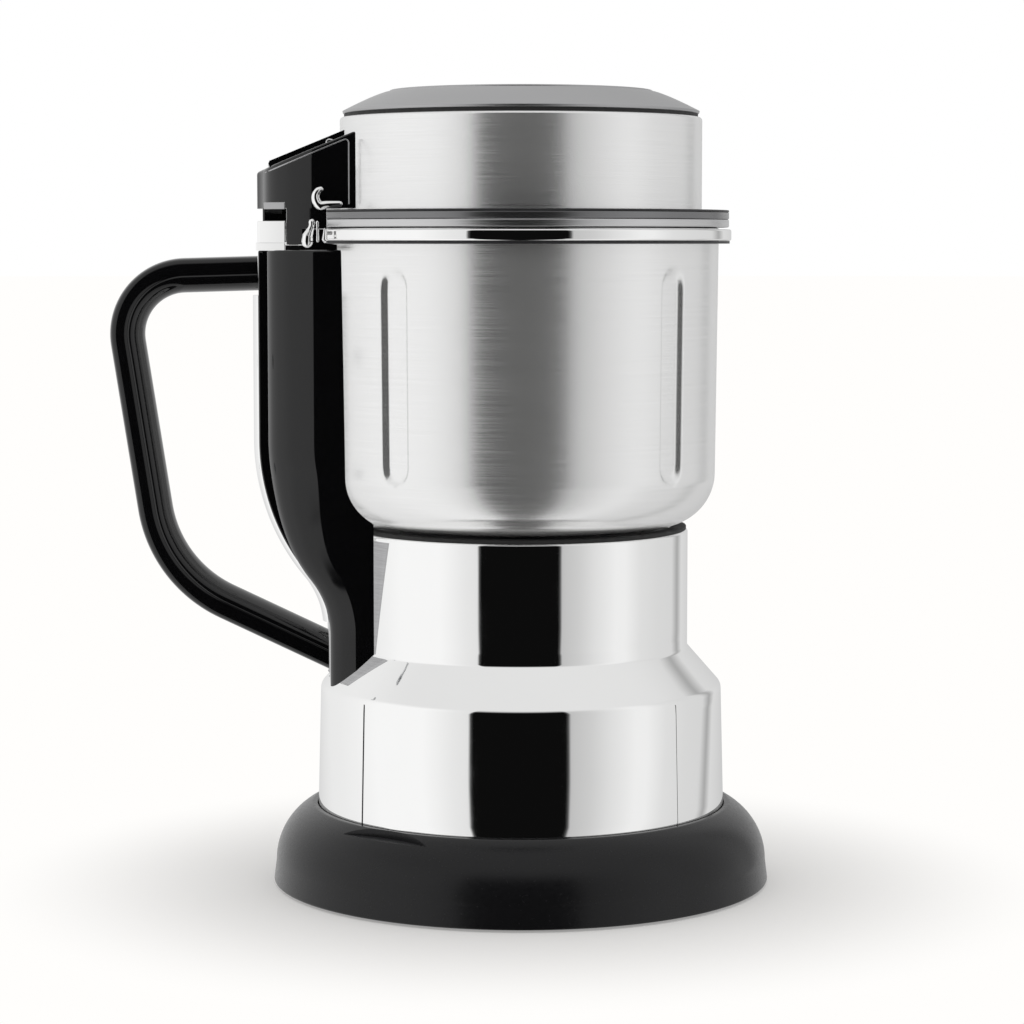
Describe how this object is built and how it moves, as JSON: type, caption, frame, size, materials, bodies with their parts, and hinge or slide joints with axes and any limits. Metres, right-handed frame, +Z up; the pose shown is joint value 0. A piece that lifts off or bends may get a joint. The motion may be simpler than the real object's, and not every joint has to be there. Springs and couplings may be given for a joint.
{
  "type": "milkshake mixer",
  "caption": "Milkshake mixer with a polished motor base, a steel jar with a looped black handle and a hinged lid that carries the run lever.",
  "frame": {"origin": "on the axis of the jar and the motor, on the surface that the mixer stands on", "axes": "+Z up along the motor's axis, -X towards the handle, -Y towards the front"},
  "size_m": [0.2516, 0.19, 0.3015],
  "materials": {
    "foot_black": "satin moulded black",
    "rubber": "matt",
    "chrome": "mirror polished",
    "brushed": "fine horizontal brushing",
    "satin_steel": "satin, blasted",
    "gloss_black": "glossy moulded black",
    "inner_black": "matt moulded black",
    "white_plastic": "natural white",
    "machined": "turned and ground",
    "zinc": "zinc plated",
    "laminations": "varnished steel sheets",
    "copper": "enamelled copper",
    "brass": "turned brass",
    "carbon": "pressed carbon",
    "silicone": "translucent white silicone"
  },
  "bodies": {
    "base": {"foot_ring": "foot_black", "anti_slip_ring": "rubber", "base_plate": "inner_black", "base_screws": "zinc", "body_shell": "chrome", "front_panel": "chrome", "deck": "inner_black", "seat_ring": "rubber", "tail_saddle": "chrome", "cord_gland": "rubber", "motor_mounts": "rubber", "top_bracket": "zinc", "bottom_bracket": "zinc", "motor_bolts": "zinc", "stator": "laminations", "field_coils": "copper", "brush_holders": "brass", "brushes": "carbon", "bearings": "machined", "microswitch": "inner_black"},
    "rotor": {"motor_shaft": "machined", "rotor_core": "laminations", "commutator": "copper", "cooling_fan": "inner_black", "drive_coupling": "inner_black"},
    "switch_button": {"switch_plunger": "white_plastic"},
    "jug": {"jar": "brushed", "rim_ring": "chrome", "jar_collar": "inner_black", "blade_housing": "machined", "bush": "brass", "shaft_seal": "rubber", "housing_nut": "machined", "spine": "gloss_black", "spine_trim": "chrome", "handle_outer": "gloss_black", "handle_inner": "gloss_black", "handle_screws": "zinc", "hinge_bracket": "chrome", "hinge_pin": "machined", "keeper_clip": "chrome"},
    "blade_set": {"blade_shaft": "machined", "blades": "brushed", "blade_nut": "machined", "driven_coupling": "inner_black"},
    "rod": {"push_rod": "machined"},
    "lid": {"lid_wall": "brushed", "lid_top": "satin_steel", "top_disc": "satin_steel", "groove_ring": "rubber", "lid_ring": "brushed", "seal_carrier": "inner_black", "lid_gasket": "silicone", "lid_liner": "brushed", "hinge_block": "gloss_black", "block_pins": "machined", "block_screws": "zinc"},
    "run_lever": {"run_lever": "gloss_black"},
    "plunger": {"lever_plunger": "white_plastic"},
    "catch": {"catch_lever": "chrome"}
  },
  "joints": [
    {"name": "motor_spin", "type": "hinge", "parent": "base", "child": "rotor", "pos_m": [0, 0, 0.07], "axis": [0, 0, 1], "continuous": true},
    {"name": "jug_lift", "type": "slide", "parent": "base", "child": "jug", "axis": [0, 0, 1], "range_m": [0, 0.06]},
    {"name": "blade_spin", "type": "hinge", "parent": "jug", "child": "blade_set", "pos_m": [0, 0, 0.14], "axis": [0, 0, 1], "continuous": true},
    {"name": "lid_hinge", "type": "hinge", "parent": "jug", "child": "lid", "pos_m": [-0.094, 0, 0.2492], "axis": [0, -1, 0], "range_deg": [0, 90]},
    {"name": "catch_turn", "type": "hinge", "parent": "lid", "child": "catch", "pos_m": [-0.0694, -0.0276, 0.259], "axis": [0, 1, 0], "range_deg": [0, 25], "stiffness_Nm_per_rad": 0.05},
    {"name": "lever_press", "type": "hinge", "parent": "lid", "child": "run_lever", "pos_m": [-0.07264, 0, 0.28118], "axis": [0, -1, 0], "range_deg": [0, 6], "stiffness_Nm_per_rad": 3},
    {"name": "plunger_slide", "type": "slide", "parent": "lid", "child": "plunger", "axis": [0, 0, -1], "range_m": [0, 0.0014]},
    {"name": "rod_slide", "type": "slide", "parent": "jug", "child": "rod", "axis": [0.1136, 0, -0.9935], "range_m": [0, 0.0014]},
    {"name": "switch_press", "type": "slide", "parent": "base", "child": "switch_button", "axis": [0, 0, -1], "range_m": [0, 0.0014]}
  ],
  "couplings": [
    {"joint": "blade_spin", "follows": "motor_spin", "ratio": 1},
    {"joint": "lever_press", "follows": "plunger_slide", "rad_per_m": 74.828},
    {"joint": "rod_slide", "follows": "plunger_slide", "ratio": 1},
    {"joint": "switch_press", "follows": "plunger_slide", "ratio": 1}
  ]
}
